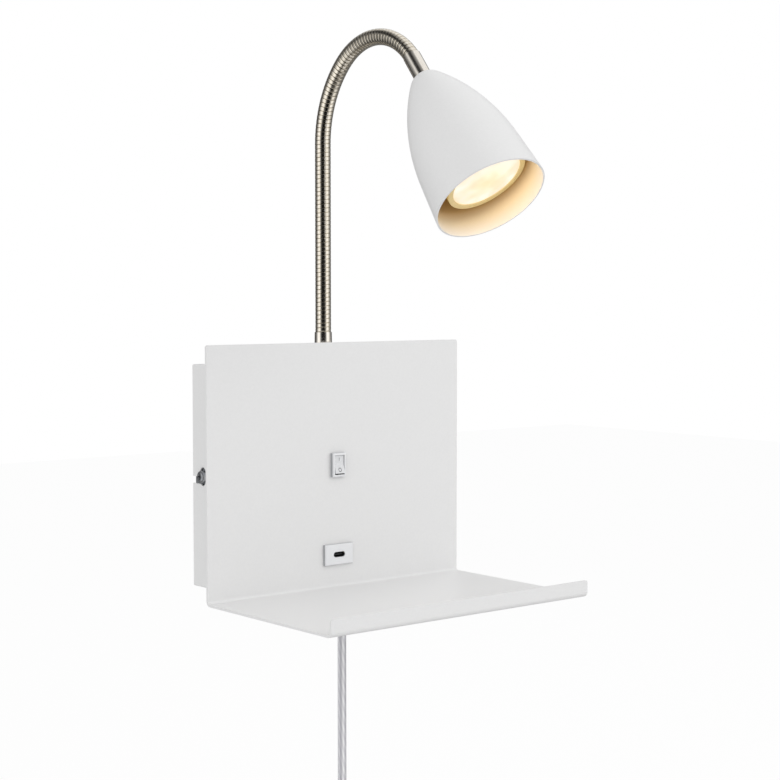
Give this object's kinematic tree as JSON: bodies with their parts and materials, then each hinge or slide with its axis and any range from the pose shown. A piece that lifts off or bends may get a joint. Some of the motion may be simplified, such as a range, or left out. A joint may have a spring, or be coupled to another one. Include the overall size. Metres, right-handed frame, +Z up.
{
  "type": "wall lamp with shelf",
  "caption": "Wall lamp with a bell shade on a flexible gooseneck above a sheet-metal back panel with a small shelf, rocker switch and USB-C port.",
  "frame": {"origin": "on the wall plane, midway between the wall bracket's two slots", "axes": "+X to the lamp's right as seen from the room, +Y into the wall, +Z up"},
  "size_m": [0.2, 0.1984, 0.6478],
  "materials": {
    "white_powder_coat": "fine matt powder coat",
    "zinc_steel": "zinc plated",
    "nickel_plate": "satin nickel plate",
    "hose_nickel": "ribbed, satin nickel plate with a warm tone",
    "ceramic": "glazed ceramic",
    "contact_brass": "stamped",
    "bulb_plastic": "smooth housing",
    "lens_glass": "frosted inside, lit",
    "board_plastic": "circuit board",
    "white_plastic": "smooth moulding",
    "port_steel": "drawn shell",
    "black_plastic": "moulded",
    "block_plastic": "natural nylon",
    "wire_insulation": "single insulated wires",
    "wire_insulation_dark": "single insulated wires",
    "clear_plastic": "clear, slightly milky",
    "cord_clear": "clear sheath over tinned strands",
    "plug_plastic": "clear, slightly milky moulding"
  },
  "bodies": {
    "root": {"shelf_panel": "white_powder_coat", "panel_studs": "zinc_steel", "stud_nuts": "zinc_steel", "wall_box": "white_powder_coat", "wall_bracket": "zinc_steel", "side_screws": "zinc_steel", "base_ferrule": "nickel_plate", "neck_nipple": "zinc_steel", "neck_washer": "zinc_steel", "neck_locknut": "zinc_steel", "hose_foot": "hose_nickel", "switch_housing": "white_plastic", "switch_blades": "contact_brass", "usb_housing": "white_plastic", "usb_shell": "port_steel", "usb_tongue": "black_plastic", "usb_driver": "black_plastic", "terminal_block": "block_plastic", "terminal_screws": "zinc_steel", "mains_wires": "wire_insulation", "switch_wires": "wire_insulation", "usb_wires": "wire_insulation_dark", "driver_wires": "wire_insulation", "neck_wires": "wire_insulation", "cord_gland": "clear_plastic", "cord_inside": "cord_clear", "mains_cord": "cord_clear", "cord_coil": "cord_clear", "coil_tie": "black_plastic", "plug_body": "plug_plastic", "plug_pins": "nickel_plate"},
    "neck_1": {"hose_1": "hose_nickel"},
    "neck_2": {"hose_2": "hose_nickel"},
    "neck_3": {"hose_3": "hose_nickel"},
    "neck_4": {"hose_4": "hose_nickel"},
    "neck_5": {"hose_5": "hose_nickel"},
    "neck_6": {"hose_6": "hose_nickel"},
    "head": {"hose_top": "hose_nickel", "head_ferrule": "nickel_plate", "grub_screw": "zinc_steel", "lamp_shade": "white_powder_coat", "shade_collar": "zinc_steel", "holder_bracket": "zinc_steel", "bracket_nut": "zinc_steel", "holder_screws": "zinc_steel", "lampholder": "ceramic", "holder_contacts": "contact_brass", "head_wires": "wire_insulation"},
    "bulb": {"bulb_body": "bulb_plastic", "bulb_lens": "lens_glass", "bulb_board": "board_plastic", "bulb_pins": "nickel_plate"},
    "rocker": {"switch_rocker": "white_plastic"}
  },
  "joints": [
    {"name": "neck_bend_1", "type": "hinge", "parent": "root", "child": "neck_1", "pos_m": [0, -0.015, 0.0961], "axis": [1, 0, 0], "range_deg": [-2, 20]},
    {"name": "neck_swing_1", "type": "hinge", "parent": "neck_1", "child": "neck_2", "pos_m": [0, -0.015, 0.13445], "axis": [0, 1, 0], "range_deg": [-31, 31]},
    {"name": "neck_bend_2", "type": "hinge", "parent": "neck_2", "child": "neck_3", "pos_m": [0, -0.015, 0.1728], "axis": [1, 0, 0], "range_deg": [-6, 20]},
    {"name": "neck_bend_3", "type": "hinge", "parent": "neck_3", "child": "neck_4", "pos_m": [0, -0.01516, 0.21115], "axis": [1, 0, 0], "range_deg": [-10, 15]},
    {"name": "neck_bend_4", "type": "hinge", "parent": "neck_4", "child": "neck_5", "pos_m": [0, -0.02836, 0.2466], "axis": [1, 0, 0], "range_deg": [-25, 10]},
    {"name": "neck_swing_2", "type": "hinge", "parent": "neck_5", "child": "neck_6", "pos_m": [0, -0.05968, 0.26707], "axis": [0, 0.1784, 0.984], "range_deg": [-30, 30]},
    {"name": "neck_bend_5", "type": "hinge", "parent": "neck_6", "child": "head", "pos_m": [0, -0.09597, 0.25852], "axis": [1, 0, 0], "range_deg": [-30, 10]},
    {"name": "bulb_twist", "type": "hinge", "parent": "head", "child": "bulb", "pos_m": [0, -0.12762, 0.22119], "axis": [0.0906, -0.6199, -0.7794], "range_deg": [0, 25]},
    {"name": "rocker_tilt", "type": "hinge", "parent": "root", "child": "rocker", "pos_m": [-0.0016, -0.0321, 0.0033], "axis": [1, 0, 0], "range_deg": [0, 16]}
  ]
}
